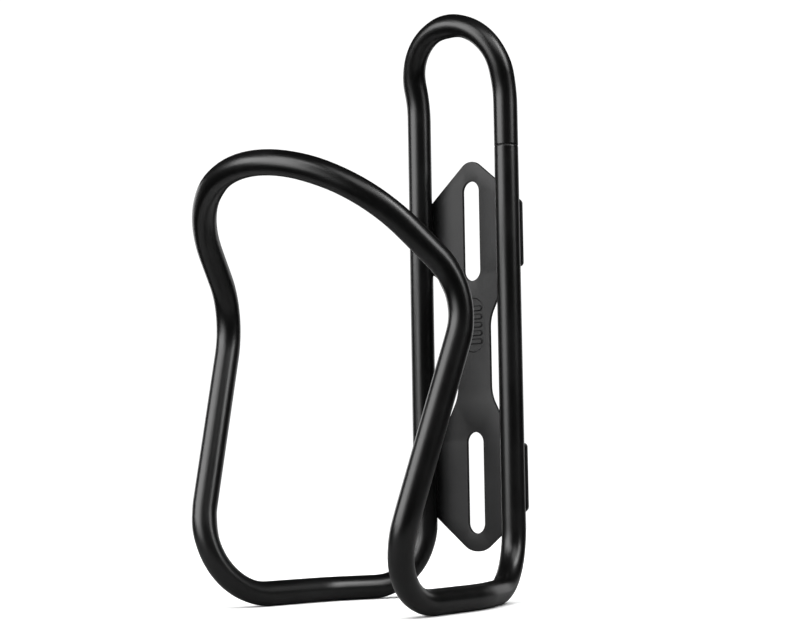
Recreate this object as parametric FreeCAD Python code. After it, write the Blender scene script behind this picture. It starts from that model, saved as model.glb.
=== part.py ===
import FreeCAD, Part
import math
import os

# Bicycle water bottle cage, in millimetres.
#
# One hollow tube is bent in three dimensions into a closed loop: two uprights behind the bottle, a loop over
# their top, a rail under each side of the bottle, and a front arm on each side that meet in a loop round the
# bottle's waist. A stamped plate with two slots is welded behind the uprights and bolts to the bicycle.
#
# Frame: +X is the cage's left-right axis, -Y is the bottle's side, +Z is up. The origin is midway between the
# two bolt slots, on the plate's rear face, where the cage meets the bicycle's frame.

# Driving dimensions

TUBE_R = 3.0
TUBE_WALL = 1.0
PLATE_T = 0.8

UPRIGHT_X = 14.4
RAIL_Z = -57.7

BOLT_SPACING = 64.0
SLOT_LENGTH = 25.5
SLOT_WIDTH = 5.3

# The plate's outline, as corner points of its upper right quarter, and the radius that rounds each corner.
# The lower tip is a little shorter and blunter than the upper one.
OUTLINE_Z = -0.3
TIP_Z = 51.4
TIP_ROUND = 4.2
LOWER_TIP_Z = 50.8
LOWER_TIP_ROUND = 6.5
WING_X = 16.3
WING_TOP_Z = 38.2
WING_BOTTOM_Z = 22.0
WING_ROUND = 1.0
FLARE_X = 12.2
FLARE_ROUND = 3.0
NECK_X = 5.4
NECK_Z = 9.7
NECK_ROUND = 8.0

JOINT_Z = 51.7
JOINT_GAP = 0.3
JOINT_RECESS = 0.15
SPIGOT_LENGTH = 16.0
SPIGOT_CLEARANCE = 0.02
SPIGOT_CHAMFER = 0.4

# Each weld run is measured sideways from the line where the tube touches the plate.
WELD_ROOT = 0.6
WELD_TOE = 1.25
WELD_REACH = 1.4
WELD_END_INSET = 1.5

# Worked out from the driving dimensions

TUBE_BORE_R = TUBE_R - TUBE_WALL
SPIGOT_R = TUBE_BORE_R - SPIGOT_CLEARANCE
UPRIGHT_Y = -(PLATE_T + TUBE_R)

# The right half of the tube's centre line: corner points and the bend radius at each, from the top loop's
# corner, down the upright, forward along the rail, up the arm, and to the middle of the front loop.
RIGHT_HALF = [
    ((UPRIGHT_X, -8.9, 83.6), 14.1),
    ((UPRIGHT_X, UPRIGHT_Y, 65.9), 28.0),
    ((UPRIGHT_X, UPRIGHT_Y, RAIL_Z), 15.0),
    ((24.8, -29.6, RAIL_Z), 30.0),
    ((28.0, -66.0, RAIL_Z), 15.9),
    ((32.8, -63.0, -37.7), 26.0),
    ((38.8, -47.6, 10.8), 17.2),
    ((28.0, -69.0, 33.0), 36.0),
    ((0.0, -81.6, 44.3), 32.0),
]


def vector(point):
    return FreeCAD.Vector(*point)


def mirrored(point):
    return (-point[0], point[1], point[2])


def loop_corners():
    """Corner points and bend radii of the whole loop, from the joint on the right upright and back to it."""
    joint = (UPRIGHT_X, UPRIGHT_Y, JOINT_Z)
    right, front = RIGHT_HALF[:-1], RIGHT_HALF[-1]
    left = [(mirrored(point), radius) for point, radius in right]
    down = [(joint, None)] + right[2:] + [front]
    up = left[::-1] + right[:2] + [(joint, None)]
    return down + up


def bent_edges(corners):
    """Straight runs joined by tangent arcs through a list of corner points with bend radii."""
    edges = []
    start = vector(corners[0][0])
    for before, corner, after in zip(corners, corners[1:], corners[2:]):
        point = vector(corner[0])
        radius = corner[1]
        back = (vector(before[0]) - point).normalize()
        ahead = (vector(after[0]) - point).normalize()
        half_turn = (math.pi - back.getAngle(ahead)) / 2
        reach = radius * math.tan(half_turn)
        arc_start = point + back * reach
        arc_end = point + ahead * reach
        middle_way = (back + ahead).normalize()
        arc_middle = point + middle_way * (radius / math.cos(half_turn) - radius)
        if (arc_start - start).Length > 0.01:
            edges.append(Part.LineSegment(start, arc_start).toShape())
        else:
            arc_start = start
        edges.append(Part.Arc(arc_start, arc_middle, arc_end).toShape())
        start = arc_end
    edges.append(Part.LineSegment(start, vector(corners[-1][0])).toShape())
    return edges


def tube_section(radius):
    """Circle across the tube's path at the joint, where the path runs down."""
    centre = FreeCAD.Vector(UPRIGHT_X, UPRIGHT_Y, JOINT_Z)
    circle = Part.Circle(centre, FreeCAD.Vector(0, 0, -1), radius)
    return Part.Wire([circle.toShape()])


def swept_solid(path, radius):
    return path.makePipeShell([tube_section(radius)], True, False)


def build_tube():
    """Hollow tube along the whole loop, short of closing by the width of the joint's gap."""
    path = Part.Wire(bent_edges(loop_corners()))
    tube = swept_solid(path, TUBE_R).cut(swept_solid(path, TUBE_BORE_R))
    return tube.cut(disc(TUBE_R + 1, JOINT_Z - JOINT_GAP / 2, JOINT_GAP))


def disc(radius, bottom_z, height):
    """Upright cylinder on the right upright's centre line."""
    return Part.makeCylinder(radius, height, FreeCAD.Vector(UPRIGHT_X, UPRIGHT_Y, bottom_z))


def build_joint_spigot():
    """Solid pin pressed into both ends of the tube, with its ends broken by a small chamfer."""
    pin = disc(SPIGOT_R, JOINT_Z - SPIGOT_LENGTH / 2, SPIGOT_LENGTH)
    ends = [edge for edge in pin.Edges if edge.Curve.TypeId == "Part::GeomCircle"]
    return pin.makeChamfer(SPIGOT_CHAMFER, ends)


def build_joint_seam():
    """Filler ring in the gap between the two tube ends, a little below the tube's surface."""
    bottom = JOINT_Z - JOINT_GAP / 2
    ring = disc(TUBE_R - JOINT_RECESS, bottom, JOINT_GAP)
    return ring.cut(disc(SPIGOT_R, bottom - 1, JOINT_GAP + 2))


def rounded_outline(corners):
    """Closed outline in the plate's rear plane, from corner points (x, z) and the radius that rounds each."""
    points = [((x, 0.0, z), radius) for x, z, radius in corners]
    first, second = points[0][0], points[1][0]
    start = tuple((a + b) / 2 for a, b in zip(first, second))
    path = [(start, None)] + points[1:] + [points[0], (start, None)]
    return Part.Wire(bent_edges(path))


def slot(centre_z):
    """Cutter for one upright slot with round ends."""
    half = SLOT_LENGTH / 2 - SLOT_WIDTH / 2
    forward = FreeCAD.Vector(0, -1, 0)
    cutter = Part.makeBox(SLOT_WIDTH, PLATE_T + 2, 2 * half)
    cutter.translate(FreeCAD.Vector(-SLOT_WIDTH / 2, -PLATE_T - 1, centre_z - half))
    for end_z in (centre_z - half, centre_z + half):
        foot = FreeCAD.Vector(0, 1, end_z)
        cutter = cutter.fuse(Part.makeCylinder(SLOT_WIDTH / 2, PLATE_T + 2, foot, forward))
    return cutter.removeSplitter()


def build_mounting_plate():
    """Flat sheet: pointed ends, four wings behind the uprights, a narrow neck, and two bolt slots."""
    quarter = [
        (WING_X, WING_TOP_Z, WING_ROUND),
        (WING_X, WING_BOTTOM_Z, WING_ROUND),
        (FLARE_X, WING_BOTTOM_Z, FLARE_ROUND),
        (NECK_X, NECK_Z, NECK_ROUND),
    ]
    right = quarter + [(x, -z, radius) for x, z, radius in quarter[::-1]]
    left = [(-x, z, radius) for x, z, radius in right[::-1]]
    outline = [(0, TIP_Z, TIP_ROUND)] + right + [(0, -LOWER_TIP_Z, LOWER_TIP_ROUND)] + left
    sheet = Part.Face(rounded_outline(outline)).extrude(FreeCAD.Vector(0, -PLATE_T, 0))
    sheet.translate(FreeCAD.Vector(0, 0, OUTLINE_Z))
    for centre_z in (-BOLT_SPACING / 2, BOLT_SPACING / 2):
        sheet = sheet.cut(slot(centre_z))
    return sheet


def build_weld(side, inward, low_z, high_z):
    """Small fillet in the corner between an upright and the plate's front face, on one side of the tube."""
    outward = -side if inward else side

    def on_plate(reach):
        return FreeCAD.Vector(side * UPRIGHT_X + outward * reach, -PLATE_T, low_z)

    def on_tube(reach):
        rise = TUBE_R - math.sqrt(TUBE_R**2 - reach**2)
        return FreeCAD.Vector(side * UPRIGHT_X + outward * reach, -PLATE_T - rise, low_z)

    tube_edge = Part.Arc(on_tube(WELD_ROOT), on_tube((WELD_ROOT + WELD_REACH) / 2), on_tube(WELD_REACH))
    edges = [
        Part.LineSegment(on_plate(WELD_ROOT), on_tube(WELD_ROOT)).toShape(),
        tube_edge.toShape(),
        Part.LineSegment(on_tube(WELD_REACH), on_plate(WELD_TOE)).toShape(),
        Part.LineSegment(on_plate(WELD_TOE), on_plate(WELD_ROOT)).toShape(),
    ]
    section = Part.Face(Part.Wire(edges))
    return section.extrude(FreeCAD.Vector(0, 0, high_z - low_z))


def build_welds():
    """Eight weld runs, keyed by node name: each wing has one on each side of the tube."""
    welds = {}
    length = WING_TOP_Z - WING_BOTTOM_Z - 2 * WELD_END_INSET
    middle_z = (WING_TOP_Z + WING_BOTTOM_Z) / 2
    for level, height in (("upper", middle_z), ("lower", -middle_z)):
        low_z = OUTLINE_Z + height - length / 2
        for hand, side in (("left", -1), ("right", 1)):
            for place, inward in (("inner", True), ("outer", False)):
                name = f"weld_{level}_{hand}_{place}"
                welds[name] = build_weld(side, inward, low_z, low_z + length)
    return welds


def main():
    os.makedirs("parts", exist_ok=True)
    nodes = {
        "tube": build_tube(),
        "joint_spigot": build_joint_spigot(),
        "joint_seam": build_joint_seam(),
        "mounting_plate": build_mounting_plate(),
    }
    nodes.update(build_welds())
    for name, shape in nodes.items():
        solids = shape.Solids
        solid = solids[0] if len(solids) == 1 else shape
        solid.exportStep(f"parts/{name}.step")
        print(name, len(solids), solid.isValid(), round(solid.Volume, 2))


main()
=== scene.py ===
"""Bicycle bottle cage: its visible meshes and finishes, built on the fixed design model.

Metres throughout, +Z up, -Y towards the bottle and +Y towards the bicycle's frame. Lengths are written in
millimetres where a maker would give them so, times MM.
"""

import logging
import math
from dataclasses import dataclass, field
from enum import Enum

import bmesh
import bpy
from mathutils import Matrix, Vector


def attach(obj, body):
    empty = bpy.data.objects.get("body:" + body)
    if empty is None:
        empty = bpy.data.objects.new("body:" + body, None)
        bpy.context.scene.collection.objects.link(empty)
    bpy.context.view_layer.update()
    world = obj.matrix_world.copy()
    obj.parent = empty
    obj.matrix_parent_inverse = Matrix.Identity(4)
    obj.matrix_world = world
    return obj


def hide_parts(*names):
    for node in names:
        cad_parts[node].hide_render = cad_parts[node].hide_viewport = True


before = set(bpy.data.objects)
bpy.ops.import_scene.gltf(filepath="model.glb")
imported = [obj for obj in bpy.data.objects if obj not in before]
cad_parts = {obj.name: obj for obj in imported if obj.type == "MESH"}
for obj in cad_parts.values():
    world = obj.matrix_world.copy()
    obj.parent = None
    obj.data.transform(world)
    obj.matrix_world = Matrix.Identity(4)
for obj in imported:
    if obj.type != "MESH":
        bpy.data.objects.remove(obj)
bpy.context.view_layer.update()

MM = 0.001
BODY = "root"
NOISE_MIDDLE = 0.5
MIX_LOW = 6
MIX_HIGH = 7
MIX_COLOUR = 2

Colour = tuple[float, float, float]
Edges = list[bmesh.types.BMEdge]

log = logging.getLogger("bottle_cage")
logging.basicConfig(level=logging.INFO, format="%(name)s: %(message)s")


class Slot(Enum):
    """The record's material slots for the tube, the plate and the welds."""

    TUBE = "tube_coating"
    PLATE = "plate_coating"
    WELD = "weld_coating"


# Shader graphs


class Signal:
    """The output of a shader node, with Python's arithmetic on it."""

    def __init__(self, graph: "ShaderGraph", socket: bpy.types.NodeSocket) -> None:
        """Wraps a socket.

        Args:
            graph: The graph that the socket is in.
            socket: The output to wrap.
        """
        self.graph = graph
        self.socket = socket

    def _math(self, operation: str, first: object, second: object) -> "Signal":
        """Adds a Math node.

        Args:
            operation: What the node does.
            first: A Signal or a number.
            second: A Signal or a number.

        Returns:
            The node's result.
        """
        return self.graph.node("ShaderNodeMath", {"operation": operation}, {0: first, 1: second})

    def __add__(self, other: object) -> "Signal":
        """This plus other."""
        return self._math("ADD", self, other)

    def __radd__(self, other: object) -> "Signal":
        """Other plus this."""
        return self._math("ADD", other, self)

    def __sub__(self, other: object) -> "Signal":
        """This minus other."""
        return self._math("SUBTRACT", self, other)

    def __mul__(self, other: object) -> "Signal":
        """This times other."""
        return self._math("MULTIPLY", self, other)

    def __rmul__(self, other: object) -> "Signal":
        """Other times this."""
        return self._math("MULTIPLY", other, self)

    def step(self, low: float, high: float) -> "Signal":
        """Smooth step of this signal.

        Args:
            low: Where the step begins.
            high: Where the step ends.

        Returns:
            0 below low, 1 above high, and smooth between.
        """
        settings = {"interpolation_type": "SMOOTHSTEP"}
        inputs = {"Value": self, "From Min": low, "From Max": high}
        return self.graph.node("ShaderNodeMapRange", settings, inputs)


class ShaderGraph:
    """The node tree of one material."""

    def __init__(self, name: str) -> None:
        """Makes an empty material.

        Args:
            name: The material's name.
        """
        self.material = bpy.data.materials.new(name)
        self.material.use_nodes = True
        self.tree = self.material.node_tree
        self.tree.nodes.clear()

    def node(
        self, kind: str, settings: dict | None = None, inputs: dict | None = None, output: object = 0
    ) -> Signal | None:
        """Adds a node.

        Args:
            kind: The node's type.
            settings: Its attributes, which are set first.
            inputs: Values or Signals for its sockets, by name or number.
            output: Which output to return, by name or number.

        Returns:
            That output, or None for a node that has no outputs.
        """
        made = self.tree.nodes.new(kind)
        for key, value in (settings or {}).items():
            setattr(made, key, value)
        for key, value in (inputs or {}).items():
            if isinstance(value, Signal):
                self.tree.links.new(value.socket, made.inputs[key])
            else:
                made.inputs[key].default_value = value
        outputs = made.outputs
        return Signal(self, outputs[output]) if len(outputs) else None

    def place(self) -> Signal:
        """Object coordinates, in metres."""
        return self.node("ShaderNodeTexCoord", output="Object")

    def stretched(self, place: Signal, scale: tuple[float, float, float]) -> Signal:
        """Coordinates times a scale on each axis.

        Args:
            place: Coordinates.
            scale: Factor on X, Y and Z.

        Returns:
            The scaled coordinates.
        """
        return self.node("ShaderNodeVectorMath", {"operation": "MULTIPLY"}, {0: place, 1: scale})

    def noise(self, place: Signal, size: float, detail: float) -> Signal:
        """Cloudy noise.

        Args:
            place: Coordinates that it is laid on.
            size: Width of its largest clouds.
            detail: Octaves of finer clouds on them.

        Returns:
            A signal from 0 to 1, mostly near 0.5.
        """
        return self.node("ShaderNodeTexNoise", {}, {"Vector": place, "Scale": 1 / size, "Detail": detail})

    def blend(self, factor: Signal, low: Colour, high: Colour) -> Signal:
        """Mixes two colours.

        Args:
            factor: 0 gives low and 1 gives high.
            low: Red, green and blue.
            high: Red, green and blue.

        Returns:
            The mixed colour.
        """
        settings = {"data_type": "RGBA"}
        inputs = {0: factor, MIX_LOW: (*low, 1.0), MIX_HIGH: (*high, 1.0)}
        return self.node("ShaderNodeMix", settings, inputs, MIX_COLOUR)

    def relief(self, height: Signal, depth: float) -> Signal:
        """Bump.

        Args:
            height: Height from 0 to 1.
            depth: What a height of 1 stands for, in metres.

        Returns:
            The shading normal.
        """
        return self.node("ShaderNodeBump", {}, {"Strength": 1.0, "Distance": depth, "Height": height})

    def surface(self, shader: str, inputs: dict) -> bpy.types.Material:
        """Ends the graph in one shader.

        Args:
            shader: The shader node's type.
            inputs: Values or Signals for its sockets, by name.

        Returns:
            The finished material.
        """
        self.node("ShaderNodeOutputMaterial", {}, {"Surface": self.node(shader, {}, inputs)})
        return self.material


# Finishes


@dataclass(frozen=True)
class SatinCoat:
    """Thin satin black coat on the tube, with a fine orange peel and faint rubbing."""

    name: str = "satin_black_coat"
    deep: Colour = (0.0006, 0.0006, 0.0006)
    rubbed: Colour = (0.0022, 0.0022, 0.0023)
    rubbed_from: float = 0.42
    rubbed_to: float = 0.68
    streak_size: float = 14 * MM
    roughness: float = 0.30
    roughness_spread: float = 0.08
    roughness_grain: float = 0.05
    peel_size: float = 0.7 * MM
    peel_share: float = 0.7
    grain_size: float = 0.16 * MM
    relief_depth: float = 0.014 * MM

    def build(self) -> bpy.types.Material:
        """Makes the material."""
        graph = ShaderGraph(self.name)
        place = graph.place()
        clouds = graph.noise(place, self.streak_size, 4.0)
        grain = graph.noise(place, self.grain_size, 2.0)
        peel = graph.noise(place, self.peel_size, 3.0)
        rubbing = clouds.step(self.rubbed_from, self.rubbed_to)
        uneven = self.roughness_spread * (clouds - NOISE_MIDDLE)
        height = self.peel_share * peel + (1 - self.peel_share) * grain
        return graph.surface(
            "ShaderNodeBsdfPrincipled",
            {
                "Base Color": graph.blend(rubbing, self.deep, self.rubbed),
                "Roughness": self.roughness + uneven + self.roughness_grain * (grain - NOISE_MIDDLE),
                "Normal": graph.relief(height, self.relief_depth),
            },
        )


@dataclass(frozen=True)
class TexturedCoat:
    """Duller and slightly grainy black coat on the stamped plate, with a few light scuffs."""

    name: str = "textured_black_coat"
    deep: Colour = (0.004, 0.004, 0.0041)
    scuffed: Colour = (0.018, 0.018, 0.019)
    cloud_size: float = 7 * MM
    cloud_share: float = 0.35
    scratch_size: float = 1.6 * MM
    scratch_squeeze: tuple[float, float, float] = (5.0, 1.0, 0.6)
    scratch_from: float = 0.66
    scratch_to: float = 0.78
    scuffed_from: float = 0.5
    scuffed_to: float = 0.7
    roughness: float = 0.43
    roughness_spread: float = 0.12
    roughness_grain: float = 0.10
    roughness_scuffed: float = 0.08
    specular: float = 0.3
    grain_size: float = 0.35 * MM
    grain_depth: float = 0.018 * MM

    def build(self) -> bpy.types.Material:
        """Makes the material."""
        graph = ShaderGraph(self.name)
        place = graph.place()
        grain = graph.noise(place, self.grain_size, 3.0)
        clouds = graph.noise(place, self.cloud_size, 4.0)
        squeezed = graph.stretched(place, self.scratch_squeeze)
        scratches = graph.noise(squeezed, self.scratch_size, 3.0).step(self.scratch_from, self.scratch_to)
        scuffs = scratches * clouds.step(self.scuffed_from, self.scuffed_to)
        uneven = self.roughness_spread * (clouds - NOISE_MIDDLE)
        rough = self.roughness + uneven + self.roughness_grain * (grain - NOISE_MIDDLE)
        paleness = self.cloud_share * clouds + (1 - self.cloud_share) * scuffs
        return graph.surface(
            "ShaderNodeBsdfPrincipled",
            {
                "Base Color": graph.blend(paleness, self.deep, self.scuffed),
                "Roughness": rough + self.roughness_scuffed * scuffs,
                "Specular IOR Level": self.specular,
                "Normal": graph.relief(grain, self.grain_depth),
            },
        )


@dataclass(frozen=True)
class WeldCoat:
    """The same black coat over a weld's rippled bead, unevenly glossy and worn in small patches."""

    name: str = "weld_black_coat"
    deep: Colour = (0.004, 0.004, 0.004)
    worn: Colour = (0.014, 0.014, 0.014)
    worn_from: float = 0.4
    worn_to: float = 0.7
    cloud_size: float = 1.5 * MM
    grain_size: float = 0.25 * MM
    grain_share: float = 0.5
    roughness: float = 0.36
    roughness_spread: float = 0.2
    relief_depth: float = 0.02 * MM

    def build(self) -> bpy.types.Material:
        """Makes the material."""
        graph = ShaderGraph(self.name)
        place = graph.place()
        grain = graph.noise(place, self.grain_size, 3.0)
        clouds = graph.noise(place, self.cloud_size, 3.0)
        wear = clouds.step(self.worn_from, self.worn_to)
        height = self.grain_share * grain + (1 - self.grain_share) * clouds
        return graph.surface(
            "ShaderNodeBsdfPrincipled",
            {
                "Base Color": graph.blend(wear, self.deep, self.worn),
                "Roughness": self.roughness + self.roughness_spread * (grain - NOISE_MIDDLE),
                "Normal": graph.relief(height, self.relief_depth),
            },
        )


@dataclass(frozen=True)
class SeamFiller:
    """Dull, nearly black filler in the ring between the tube's ends."""

    name: str = "seam_filler"
    dark: Colour = (0.0015, 0.0015, 0.0015)
    dusty: Colour = (0.008, 0.008, 0.008)
    dusty_from: float = 0.5
    dusty_to: float = 0.8
    grain_size: float = 0.2 * MM
    roughness: float = 0.7
    roughness_spread: float = 0.2
    relief_depth: float = 0.02 * MM

    def build(self) -> bpy.types.Material:
        """Makes the material."""
        graph = ShaderGraph(self.name)
        grain = graph.noise(graph.place(), self.grain_size, 3.0)
        dust = grain.step(self.dusty_from, self.dusty_to)
        return graph.surface(
            "ShaderNodeBsdfPrincipled",
            {
                "Base Color": graph.blend(dust, self.dark, self.dusty),
                "Roughness": self.roughness + self.roughness_spread * (grain - NOISE_MIDDLE),
                "Normal": graph.relief(grain, self.relief_depth),
            },
        )


@dataclass(frozen=True)
class TurnedAlloy:
    """Bare alloy with the fine rings that a lathe leaves round an upright pin."""

    name: str = "turned_alloy"
    dull: Colour = (0.55, 0.56, 0.58)
    bright: Colour = (0.72, 0.73, 0.75)
    ring_pitch: float = 0.12 * MM
    ring_squeeze: tuple[float, float, float] = (0.05, 0.05, 1.0)
    roughness: float = 0.32
    roughness_spread: float = 0.2
    relief_depth: float = 0.01 * MM

    def build(self) -> bpy.types.Material:
        """Makes the material."""
        graph = ShaderGraph(self.name)
        rings = graph.noise(graph.stretched(graph.place(), self.ring_squeeze), self.ring_pitch, 2.0)
        return graph.surface(
            "ShaderNodeBsdfPrincipled",
            {
                "Base Color": graph.blend(rings, self.dull, self.bright),
                "Metallic": 1.0,
                "Roughness": self.roughness + self.roughness_spread * (rings - NOISE_MIDDLE),
                "Normal": graph.relief(rings, self.relief_depth),
            },
        )


@dataclass(frozen=True)
class MattSheet:
    """Matt sheet on the stage, in two close shades of grey or white."""

    name: str
    low: float
    high: float
    cloud_size: float = 60 * MM
    roughness: float = 0.9
    specular: float = 0.1

    def build(self) -> bpy.types.Material:
        """Makes the material."""
        graph = ShaderGraph(self.name)
        clouds = graph.noise(graph.place(), self.cloud_size, 3.0)
        return graph.surface(
            "ShaderNodeBsdfPrincipled",
            {
                "Base Color": graph.blend(clouds, (self.low,) * 3, (self.high,) * 3),
                "Roughness": self.roughness,
                "Specular IOR Level": self.specular,
            },
        )


@dataclass(frozen=True)
class Backdrop:
    """Evenly bright white paper far behind everything."""

    name: str = "white_backdrop"
    strength: float = 1.1

    def build(self) -> bpy.types.Material:
        """Makes the material."""
        return ShaderGraph(self.name).surface("ShaderNodeEmission", {"Strength": self.strength})


# Pieces


def add_piece(
    name: str,
    bm: bmesh.types.BMesh,
    finish: bpy.types.Material,
    replaced: list[str],
    crease: float = 35.0,
) -> None:
    """Turns a finished bmesh into a piece that rides on the cage.

    Args:
        name: The piece's name.
        bm: Its mesh, which is freed.
        finish: Its material.
        replaced: Design nodes that it stands for.
        crease: Edges that turn by more than this many degrees stay sharp.
    """
    for face in bm.faces:
        face.smooth = True
    mesh = bpy.data.meshes.new(name)
    bm.to_mesh(mesh)
    bm.free()
    mesh.set_sharp_from_angle(angle=math.radians(crease))
    mesh.materials.append(finish)
    piece = bpy.data.objects.new(name, mesh)
    bpy.context.scene.collection.objects.link(piece)
    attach(piece, BODY)
    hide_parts(*replaced)
    log.info("%s: %d faces, in place of %s", name, len(mesh.polygons), ", ".join(replaced))


@dataclass(frozen=True)
class Bend:
    """One bend of a tube, in millimetres: its radius, and the corner where its straight runs would meet."""

    corner: tuple[float, float, float]
    radius: float

    def mirrored(self) -> "Bend":
        """The same bend on the left side."""
        x, y, z = self.corner
        return Bend((-x, y, z), self.radius)


@dataclass
class BentTube:
    """The cage's one hollow tube, bent into a closed loop and butted at a joint on the right upright.

    The joint's place and the bends are in millimetres.
    """

    radius: float = 3.0 * MM
    bore_radius: float = 2.0 * MM
    joint: tuple[float, float, float] = (14.4, -3.8, 51.7)
    gap: float = 0.3 * MM
    lead_in: float = 0.12 * MM
    lead_in_radius: float = 2.93 * MM
    ring_segments: int = 56
    degrees_per_step: float = 3.6
    flattening: float = 0.40
    flattening_run_in: float = 6.0 * MM
    merge_distance: float = 0.001 * MM
    right_half: tuple = (
        Bend((14.4, -8.9, 83.6), 14.1),
        Bend((14.4, -3.8, 65.9), 28.0),
        Bend((14.4, -3.8, -57.7), 15.0),
        Bend((24.8, -29.6, -57.7), 30.0),
        Bend((28.0, -66.0, -57.7), 15.9),
        Bend((32.8, -63.0, -37.7), 26.0),
        Bend((38.8, -47.6, 10.8), 17.2),
        Bend((28.0, -69.0, 33.0), 36.0),
    )
    front_middle: Bend = Bend((0.0, -81.6, 44.3), 32.0)

    def bends(self) -> list[Bend]:
        """Every bend, from the joint down the right upright and round to the joint again."""
        right = list(self.right_half)
        left = [bend.mirrored() for bend in right]
        return right[2:] + [self.front_middle] + left[::-1] + right[:2]

    def build(self, finish: bpy.types.Material) -> None:
        """Makes the tube.

        Args:
            finish: The coat's material.
        """
        bm = bmesh.new()
        joint = Vector(self.joint) * MM
        place = Matrix.Translation(joint - Vector((0, 0, self.gap / 2)))
        segments = self.ring_segments
        bmesh.ops.create_circle(bm, segments=segments, radius=self.lead_in_radius, matrix=place)
        outer = list(bm.edges)
        section = outer + self._end_face(bm, outer, place.translation)
        section = self._push(bm, section, Vector((0, 0, -self.lead_in)), self.radius / self.lead_in_radius)
        section = self._push(bm, section, Vector((0, 0, -self.lead_in)), 1.0)
        at = joint - Vector((0, 0, self.gap / 2 + 2 * self.lead_in))
        bends = self.bends()
        corners = [Vector(bend.corner) * MM for bend in bends] + [joint]
        before = joint
        for bend, corner, after in zip(bends, corners, corners[1:]):
            section, at = self._follow(bm, section, at, before, corner, after, bend.radius * MM)
            before = corner
        end = joint + Vector((0, 0, self.gap / 2))
        section = self._push(bm, section, end + Vector((0, 0, 2 * self.lead_in)) - at, 1.0)
        section = self._push(bm, section, Vector((0, 0, -self.lead_in)), 1.0)
        last = self._push(bm, section, Vector((0, 0, -self.lead_in)), self.lead_in_radius / self.radius)
        middle = (self.radius + self.bore_radius) / 2
        self._end_face(bm, [edge for edge in last if (edge.verts[0].co - end).length > middle], end)
        bmesh.ops.remove_doubles(bm, verts=bm.verts, dist=self.merge_distance)
        bmesh.ops.recalc_face_normals(bm, faces=bm.faces)
        add_piece("tube_loop", bm, finish, ["tube"])

    def _end_face(self, bm: bmesh.types.BMesh, outer: Edges, centre: Vector) -> Edges:
        """Makes the flat end between the tube's outside and its bore.

        Args:
            bm: The tube's mesh.
            outer: The edges of the outer ring.
            centre: The ring's centre.

        Returns:
            The edges of the bore's ring.
        """
        made = bmesh.ops.extrude_edge_only(bm, edges=outer)["geom"]
        verts = [item for item in made if isinstance(item, bmesh.types.BMVert)]
        factor = self.bore_radius / self.lead_in_radius
        bmesh.ops.scale(bm, vec=(factor,) * 3, space=Matrix.Translation(-centre), verts=verts)
        return edges_between(made, verts)

    def _push(self, bm: bmesh.types.BMesh, section: Edges, move: Vector, outer_scale: float) -> Edges:
        """Carries the section straight on.

        Args:
            bm: The tube's mesh.
            section: The edges of its two rings.
            move: How far they go.
            outer_scale: Factor on the outer ring's radius.

        Returns:
            The edges of the new section.
        """
        made = bmesh.ops.extrude_edge_only(bm, edges=section)["geom"]
        verts = [item for item in made if isinstance(item, bmesh.types.BMVert)]
        bmesh.ops.translate(bm, verts=verts, vec=move)
        if outer_scale != 1.0:
            centre = sum((vert.co for vert in verts), Vector()) / len(verts)
            middle = (self.radius + self.bore_radius) / 2
            outer = [vert for vert in verts if (vert.co - centre).length > middle]
            space = Matrix.Translation(-centre)
            bmesh.ops.scale(bm, vec=(outer_scale,) * 3, space=space, verts=outer)
        return edges_between(made, verts)

    def _follow(
        self,
        bm: bmesh.types.BMesh,
        section: Edges,
        at: Vector,
        before: Vector,
        corner: Vector,
        after: Vector,
        radius: float,
    ) -> tuple[Edges, Vector]:
        """Carries the section along a straight run and round the bend at its end.

        Args:
            bm: The tube's mesh.
            section: The edges of its two rings.
            at: The section's centre.
            before: The corner before this one.
            corner: The corner that is bent round.
            after: The corner after it.
            radius: The bend's radius.

        Returns:
            The edges of the new section, and its centre.
        """
        back = (before - corner).normalized()
        ahead = (after - corner).normalized()
        turn = math.pi - back.angle(ahead)
        reach = radius * math.tan(turn / 2)
        start = corner + back * reach
        section = self._push(bm, section, start - at, 1.0)
        axis = ahead.cross(back).normalized()
        pivot = corner + (back + ahead).normalized() * radius / math.cos(turn / 2)
        steps = math.ceil(math.degrees(turn) / self.degrees_per_step)
        rings = []
        for step in range(steps):
            made = bmesh.ops.spin(
                bm, geom=section + ring_verts(section), cent=pivot, axis=axis, angle=turn / steps, steps=1
            )["geom_last"]
            section = [item for item in made if isinstance(item, bmesh.types.BMEdge)]
            rings.append((step + 1, ring_verts(section)))
        for step, verts in rings[:-1]:
            centre = sum((vert.co for vert in verts), Vector()) / len(verts)
            distance = min(step, steps - step) / steps * turn * radius
            amount = self.flattening * self.radius / radius * smooth(distance / self.flattening_run_in)
            outward = (centre - pivot).normalized()
            for vert in verts:
                vert.co -= outward * (vert.co - centre).dot(outward) * amount
        return section, corner + ahead * reach


def ring_verts(edges: Edges) -> list[bmesh.types.BMVert]:
    """The vertices of a list of edges, each once."""
    return list({vert for edge in edges for vert in edge.verts})


def edges_between(made: list, verts: list[bmesh.types.BMVert]) -> Edges:
    """The edges in a list of new mesh elements that have both ends in verts."""
    ends = set(verts)
    return [item for item in made if isinstance(item, bmesh.types.BMEdge) and set(item.verts) <= ends]


def smooth(value: float) -> float:
    """Smooth step from 0 to 1."""
    value = min(max(value, 0.0), 1.0)
    return value * value * (3 - 2 * value)


@dataclass(frozen=True)
class Corner:
    """A corner of the plate's outline on X and Z, and the radius that rounds it, in millimetres."""

    x: float
    z: float
    radius: float


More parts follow.
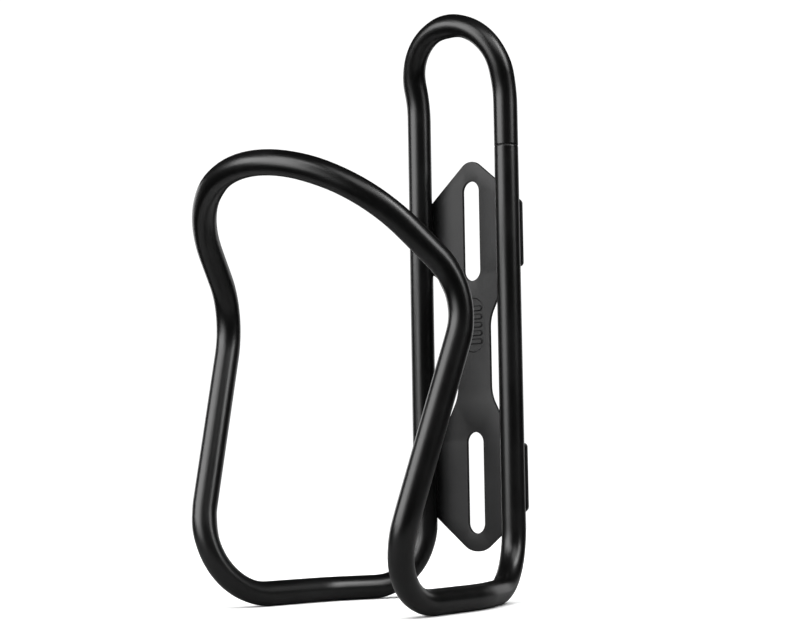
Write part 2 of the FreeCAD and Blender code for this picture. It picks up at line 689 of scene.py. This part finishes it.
@dataclass
class MountingPlate:
    """Stamped sheet behind the uprights, with four wings, two bolt slots and a pressed panel on its neck.

    The outline, the slots, the panel's place and the ribs are in millimetres. Each inset that rounds an
    edge is given as shares of edge_round: how far it goes sideways, and how far outward.
    """

    thickness: float = 0.8 * MM
    edge_round: float = 0.16 * MM
    outline_z: float = -0.3
    upper_tip: Corner = Corner(0.0, 51.4, 4.2)
    lower_tip: Corner = Corner(0.0, -50.8, 6.5)
    quarter: tuple = (
        Corner(16.3, 38.2, 1.0),
        Corner(16.3, 22.0, 1.0),
        Corner(12.2, 22.0, 3.0),
        Corner(5.4, 9.7, 8.0),
    )
    slot_spacing: float = 64.0
    slot_length: float = 25.5
    slot_width: float = 5.3
    panel_z: float = 7.9
    panel_length: float = 14.0
    panel_width: float = 7.4
    panel_depth: float = 0.30 * MM
    panel_slope: float = 0.30 * MM
    rib_width: float = 0.9
    rib_spacing: float = 2.1
    rib_inset: float = 1.5
    rib_count: int = 5
    degrees_per_corner_segment: float = 6.0
    fewest_corner_segments: int = 4
    slot_segments: int = 44
    rib_segments: int = 16
    crease: float = 20.0
    rounding: tuple = ((0.13, 0.5), (0.37, 0.37), (0.5, 0.13))

    def build(self, finish: bpy.types.Material) -> None:
        """Makes the plate.

        Args:
            finish: The coat's material.
        """
        bm = bmesh.new()
        edges = self._outline(bm)
        for centre_z in (-self.slot_spacing / 2, self.slot_spacing / 2):
            edges += self._stadium(bm, centre_z, self.slot_length, self.slot_width)
        panel = self._stadium(bm, self.panel_z, self.panel_length, self.panel_width)
        bmesh.ops.triangle_fill(bm, use_beauty=True, edges=edges + panel)
        self._fill_panel(bm, panel)
        self._give_thickness(bm)
        add_piece("stamped_plate", bm, finish, ["mounting_plate"], self.crease)

    def _outline(self, bm: bmesh.types.BMesh) -> Edges:
        """Draws the outline with its corners rounded.

        Args:
            bm: The plate's mesh.

        Returns:
            The outline's edges.
        """
        lower = [Corner(corner.x, -corner.z, corner.radius) for corner in self.quarter[::-1]]
        right = [*self.quarter, *lower]
        left = [Corner(-corner.x, corner.z, corner.radius) for corner in right[::-1]]
        corners = [self.upper_tip, *right, self.lower_tip, *left]
        verts = [bm.verts.new((corner.x * MM, 0.0, (corner.z + self.outline_z) * MM)) for corner in corners]
        bm.faces.new(verts)
        places = [vert.co.copy() for vert in verts]
        for index, (corner, vert) in enumerate(zip(corners, verts)):
            back = places[index - 1] - places[index]
            ahead = places[(index + 1) % len(places)] - places[index]
            turn = math.pi - back.angle(ahead)
            segments = math.ceil(math.degrees(turn) / self.degrees_per_corner_segment)
            bmesh.ops.bevel(
                bm,
                geom=[vert],
                offset=corner.radius * MM * math.tan(turn / 2),
                offset_type="OFFSET",
                affect="VERTICES",
                segments=max(self.fewest_corner_segments, segments),
                profile=0.5,
                material=-1,
            )
        edges = list(bm.edges)
        bmesh.ops.delete(bm, geom=list(bm.faces), context="FACES_ONLY")
        return edges

    def _stadium(self, bm: bmesh.types.BMesh, centre_z: float, length: float, width: float) -> Edges:
        """Draws an upright slot with round ends.

        Args:
            bm: The plate's mesh.
            centre_z: Height of its middle, in millimetres.
            length: Its length over all, in millimetres.
            width: Its width, in millimetres.

        Returns:
            The edges of its outline.
        """
        half_step = math.pi / self.slot_segments
        turn = Matrix.Rotation(math.pi / 2, 4, "X") @ Matrix.Rotation(half_step, 4, "Z")
        radius = width / 2 * MM / math.cos(half_step)
        made = bmesh.ops.create_circle(bm, segments=self.slot_segments, radius=radius, matrix=turn)
        verts = made["verts"]
        edges = list({edge for vert in verts for edge in vert.link_edges})
        for vert in verts:
            vert.co.z += math.copysign((length - width) / 2, vert.co.z) * MM + centre_z * MM
        return edges

    def _fill_panel(self, bm: bmesh.types.BMesh, panel: Edges) -> None:
        """Fills the panel's outline and its ribs. The faces to press in have material index 1.

        Args:
            bm: The plate's mesh.
            panel: The edges of the panel's outline.
        """
        ribs = []
        for index in range(self.rib_count):
            offset = (index - (self.rib_count - 1) / 2) * self.rib_spacing
            ribs += self._stadium_across(bm, self.panel_z + offset)
        before = set(bm.faces)
        bmesh.ops.triangle_fill(bm, use_beauty=True, edges=panel + ribs)
        for face in set(bm.faces) - before:
            face.material_index = 1
        bmesh.ops.triangle_fill(bm, use_beauty=True, edges=ribs)

    def _stadium_across(self, bm: bmesh.types.BMesh, centre_z: float) -> Edges:
        """Draws a rib's outline, a short bar with round ends that lies across the panel.

        Args:
            bm: The plate's mesh.
            centre_z: Height of its middle, in millimetres.

        Returns:
            The edges of its outline.
        """
        half_step = math.pi / self.rib_segments
        turn = Matrix.Rotation(math.pi / 2, 4, "X") @ Matrix.Rotation(half_step, 4, "Z")
        radius = self.rib_width / 2 * MM
        made = bmesh.ops.create_circle(bm, segments=self.rib_segments, radius=radius, matrix=turn)
        verts = made["verts"]
        for vert in verts:
            vert.co.x += math.copysign(self.panel_width / 2 - self.rib_inset, vert.co.x) * MM
        bmesh.ops.translate(bm, verts=verts, vec=(0.0, 0.0, centre_z * MM))
        return list({edge for vert in verts for edge in vert.link_edges})

    def _give_thickness(self, bm: bmesh.types.BMesh) -> None:
        """Turns the flat fill into a sheet with rounded edges, and presses the panel in.

        Args:
            bm: The plate's mesh, a flat fill on its rear face.
        """
        rear = list(bm.faces)
        bmesh.ops.translate(bm, verts=bm.verts, vec=(0.0, -self.edge_round, 0.0))
        made = bmesh.ops.extrude_face_region(bm, geom=rear, use_keep_orig=True)["geom"]
        front_verts = [item for item in made if isinstance(item, bmesh.types.BMVert)]
        front = [item for item in made if isinstance(item, bmesh.types.BMFace)]
        bmesh.ops.translate(bm, verts=front_verts, vec=(0.0, 2 * self.edge_round - self.thickness, 0.0))
        bmesh.ops.recalc_face_normals(bm, faces=bm.faces)
        for side in (rear, front):
            for sideways, outward in self.rounding:
                bmesh.ops.inset_region(
                    bm,
                    faces=side,
                    use_boundary=True,
                    use_even_offset=True,
                    thickness=sideways * self.edge_round,
                    depth=outward * self.edge_round,
                )
        pressed = [face for face in front if face.material_index == 1]
        for face in bm.faces:
            face.material_index = 0
        bmesh.ops.inset_region(
            bm,
            faces=pressed,
            use_boundary=True,
            use_even_offset=True,
            thickness=self.panel_slope,
            depth=-self.panel_depth,
        )


@dataclass
class WeldRuns:
    """Eight short weld beads where the plate's wings meet the uprights, in millimetres.

    The end length and end radius are shares of the bead's radius.
    """

    upright_x: float = 14.4
    plate_front: float = -0.8
    outline_z: float = -0.3
    wing_middle_z: float = 30.1
    length: float = 13.2
    reach: float = 1.2
    sink: float = 0.06
    radius: float = 0.42
    end_length: float = 1.6
    end_radius: float = 0.12
    ripple_pitch: float = 0.55
    ripple_depth: float = 0.14
    ring_segments: int = 14
    rings_per_ripple: int = 4
    crease: float = 60.0

    def build(self, finish: bpy.types.Material) -> None:
        """Makes every bead.

        Args:
            finish: The coat's material.
        """
        y = self.plate_front - self.sink
        for level, height in (("upper", self.wing_middle_z), ("lower", -self.wing_middle_z)):
            foot_z = self.outline_z + height - self.length / 2
            for hand, side in (("left", -1), ("right", 1)):
                for place, outward in (("inner", -side), ("outer", side)):
                    x = side * self.upright_x + outward * self.reach
                    bm = self._bead(Vector((x, y, foot_z)) * MM)
                    label = f"{level}_{hand}_{place}"
                    add_piece(f"bead_{label}", bm, finish, [f"weld_{label}"], self.crease)

    def _ring_size(self, along: float) -> float:
        """Radius of the bead.

        Args:
            along: Distance from its foot, in millimetres.

        Returns:
            The radius, in metres.
        """
        to_end = min(along, self.length - along) / (self.end_length * self.radius)
        rounding = math.sqrt(max(0.0, 1 - max(0.0, 1 - to_end) ** 2))
        ripple = 1 - self.ripple_depth * (1 - abs(math.sin(math.pi * along / self.ripple_pitch)))
        return self.radius * MM * max(self.end_radius, rounding) * ripple

    def _bead(self, foot: Vector) -> bmesh.types.BMesh:
        """Makes one bead.

        Args:
            foot: The centre of its lower end.

        Returns:
            Its mesh.
        """
        bm = bmesh.new()
        count = round(self.length / self.ripple_pitch * self.rings_per_ripple)
        place = Matrix.Translation(foot)
        size = self._ring_size(0.0)
        segments = self.ring_segments
        bmesh.ops.create_circle(bm, segments=segments, radius=size, matrix=place, cap_ends=True)
        ring = list(bm.edges)
        for index in range(1, count + 1):
            made = bmesh.ops.extrude_edge_only(bm, edges=ring)["geom"]
            verts = [item for item in made if isinstance(item, bmesh.types.BMVert)]
            ring = edges_between(made, verts)
            bmesh.ops.translate(bm, verts=verts, vec=(0.0, 0.0, self.length / count * MM))
            next_size = self._ring_size(index * self.length / count)
            centre = foot + Vector((0, 0, index * self.length / count * MM))
            space = Matrix.Translation(-centre)
            bmesh.ops.scale(bm, vec=(next_size / size,) * 3, space=space, verts=verts)
            size = next_size
        bmesh.ops.edgeloop_fill(bm, edges=ring)
        bmesh.ops.recalc_face_normals(bm, faces=bm.faces)
        return bm


@dataclass
class TubeJoint:
    """The pin inside the tube's butt joint and the filler ring round it, which keep their design shapes."""

    pin_node: str = "joint_spigot"
    seam_node: str = "joint_seam"

    def dress(self, alloy: bpy.types.Material, filler: bpy.types.Material) -> None:
        """Gives the two nodes their finishes.

        Args:
            alloy: The pin's material.
            filler: The ring's material.
        """
        for node, finish in ((self.pin_node, alloy), (self.seam_node, filler)):
            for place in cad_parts[node].material_slots:
                place.material = finish
            log.info("%s: design shape, finish %s", node, finish.name)


# Studio


def bearing_vector(turn: float, rise: float) -> Vector:
    """Unit vector towards a place seen from the cage.

    Args:
        turn: Angle from -Y towards +X, in radians.
        rise: Angle above the horizon, in radians.

    Returns:
        The vector.
    """
    return Vector((math.sin(turn) * math.cos(rise), -math.cos(turn) * math.cos(rise), math.sin(rise)))


@dataclass(frozen=True)
class Softbox:
    """A soft rectangular light that faces the cage.

    Its bearing is the angle to the camera's right, seen from above, and its elevation is above the horizon,
    in degrees. Distance, width and height are in metres. The energy follows from the radiance and the area.
    """

    name: str
    bearing: float
    elevation: float
    distance: float
    width: float
    height: float
    radiance: float
    mirrored_in_gloss: bool = True


@dataclass
class Studio:
    """White table and backdrop, soft lights and the camera.

    Angles are in degrees. The camera's place, lens and sensor, the floor's height and the sheen's drop are
    in millimetres. The clip distances and the radii are in metres.
    """

    azimuth: float = 42.149
    elevation: float = -4.491
    roll: float = -0.890
    camera_place: tuple = (293.65, -352.81, -26.48)
    lens: float = 81.3
    sensor: float = 36.0
    clip_start: float = 0.01
    clip_end: float = 20.0
    floor_z: float = -60.7
    floor_radius: float = 0.45
    sheen_radius: float = 0.15
    sheen_drop: float = 0.1
    disc_segments: int = 96
    backdrop_radius: float = 4.0
    backdrop_subdivisions: int = 4
    world_strength: float = 0.02
    lights: list[Softbox] = field(
        default_factory=lambda: [
            Softbox("key_softbox", -68.0, 21.0, 0.80, 0.72, 0.40, 5.4),
            Softbox("key_edge", -34.0, 14.0, 0.80, 0.16, 0.44, 1.4),
            Softbox("key_top", -46.0, 42.0, 0.80, 0.50, 0.22, 4.8),
            Softbox("key_skirt", -58.0, 0.0, 0.80, 0.52, 0.20, 3.2),
            Softbox("side_softbox", 60.0, 23.0, 0.80, 0.30, 0.26, 5.6),
            Softbox("side_strip", 64.0, 44.0, 0.80, 0.26, 0.34, 9.0),
            Softbox("front_card", 22.0, 50.0, 0.80, 0.50, 0.40, 2.4),
            Softbox("rear_left_card", -150.0, 3.0, 0.80, 0.50, 0.34, 1.5),
            Softbox("rear_right_card", 150.0, 6.0, 0.80, 0.50, 0.34, 0.8),
            Softbox("table_light", 0.0, 89.0, 1.10, 1.60, 1.60, 3.0, False),
        ]
    )

    def build(self) -> None:
        """Makes the stage, the lights and the camera."""
        self._stage()
        for light in self.lights:
            self._light(light)
        self._camera()
        world = bpy.data.worlds.new("dim_studio")
        world.use_nodes = True
        world.node_tree.nodes["Background"].inputs["Strength"].default_value = self.world_strength
        world.node_tree.nodes["Background"].inputs["Color"].default_value = (1.0, 1.0, 1.0, 1.0)
        bpy.context.scene.world = world
        bpy.context.scene.view_settings.view_transform = "Standard"

    def _stage(self) -> None:
        """Makes the table, the grey card that stands for it in the cage's reflections, and the backdrop."""
        white = MattSheet("pale_floor", low=0.86, high=0.90).build()
        floor = self._disc("table_top", self.floor_radius, self.floor_z * MM, white)
        floor.visible_glossy = False
        floor.visible_shadow = False
        grey = MattSheet("grey_card", low=0.18, high=0.22).build()
        sheen = self._disc("table_sheen", self.sheen_radius, (self.floor_z - self.sheen_drop) * MM, grey)
        sheen.visible_camera = False
        bm = bmesh.new()
        subdivisions = self.backdrop_subdivisions
        bmesh.ops.create_icosphere(bm, subdivisions=subdivisions, radius=self.backdrop_radius)
        bmesh.ops.reverse_faces(bm, faces=bm.faces)
        dome = self._stage_object("backdrop", bm, Backdrop().build())
        for ray in ("diffuse", "glossy", "transmission", "shadow", "volume_scatter"):
            setattr(dome, f"visible_{ray}", False)
        log.info("stage: %s, %s and %s", floor.name, sheen.name, dome.name)

    def _disc(
        self, name: str, radius: float, height: float, finish: bpy.types.Material
    ) -> bpy.types.Object:
        """Makes a flat round sheet for the stage.

        Args:
            name: Its name.
            radius: Its radius, in metres.
            height: Its height, in metres.
            finish: Its material.

        Returns:
            The object.
        """
        bm = bmesh.new()
        place = Matrix.Translation((0, 0, height))
        segments = self.disc_segments
        bmesh.ops.create_circle(bm, segments=segments, radius=radius, matrix=place, cap_ends=True)
        return self._stage_object(name, bm, finish)

    def _stage_object(
        self, name: str, bm: bmesh.types.BMesh, finish: bpy.types.Material
    ) -> bpy.types.Object:
        """Makes one stage object.

        Args:
            name: Its name.
            bm: Its mesh, which is freed.
            finish: Its material.

        Returns:
            The object.
        """
        mesh = bpy.data.meshes.new(name)
        bm.to_mesh(mesh)
        bm.free()
        mesh.materials.append(finish)
        item = bpy.data.objects.new(name, mesh)
        bpy.context.scene.collection.objects.link(item)
        return item

    def _light(self, softbox: Softbox) -> None:
        """Makes one light.

        Args:
            softbox: Its place, size and power.
        """
        data = bpy.data.lights.new(softbox.name, "AREA")
        data.shape = "RECTANGLE"
        data.size = softbox.width
        data.size_y = softbox.height
        data.energy = softbox.radiance * math.pi * softbox.width * softbox.height
        item = bpy.data.objects.new(softbox.name, data)
        turn = math.radians(self.azimuth + softbox.bearing)
        rise = math.radians(softbox.elevation)
        towards = bearing_vector(turn, rise)
        item.location = towards * softbox.distance
        item.rotation_mode = "QUATERNION"
        item.rotation_quaternion = towards.to_track_quat("Z", "Y")
        item.visible_camera = False
        item.visible_glossy = softbox.mirrored_in_gloss
        bpy.context.scene.collection.objects.link(item)

    def _camera(self) -> None:
        """Makes the camera and hands it to the scene."""
        data = bpy.data.cameras.new("camera")
        data.lens = self.lens
        data.sensor_width = self.sensor
        data.clip_start = self.clip_start
        data.clip_end = self.clip_end
        item = bpy.data.objects.new("camera", data)
        turn, rise = math.radians(self.azimuth), math.radians(self.elevation)
        back = bearing_vector(turn, rise)
        level = Vector((math.cos(turn), math.sin(turn), 0.0))
        tilt = math.radians(self.roll)
        right = level * math.cos(tilt) + back.cross(level) * math.sin(tilt)
        up = back.cross(right)
        axes = Matrix((right, up, back)).transposed().to_4x4()
        item.matrix_world = Matrix.Translation(Vector(self.camera_place) * MM) @ axes
        bpy.context.scene.collection.objects.link(item)
        bpy.context.scene.camera = item


def main() -> None:
    """Builds the cage, dresses it and sets the stage."""
    BentTube().build(SatinCoat().build())
    MountingPlate().build(TexturedCoat().build())
    WeldRuns().build(WeldCoat().build())
    TubeJoint().dress(TurnedAlloy().build(), SeamFiller().build())
    Studio().build()


if __name__ == "__main__":
    main()
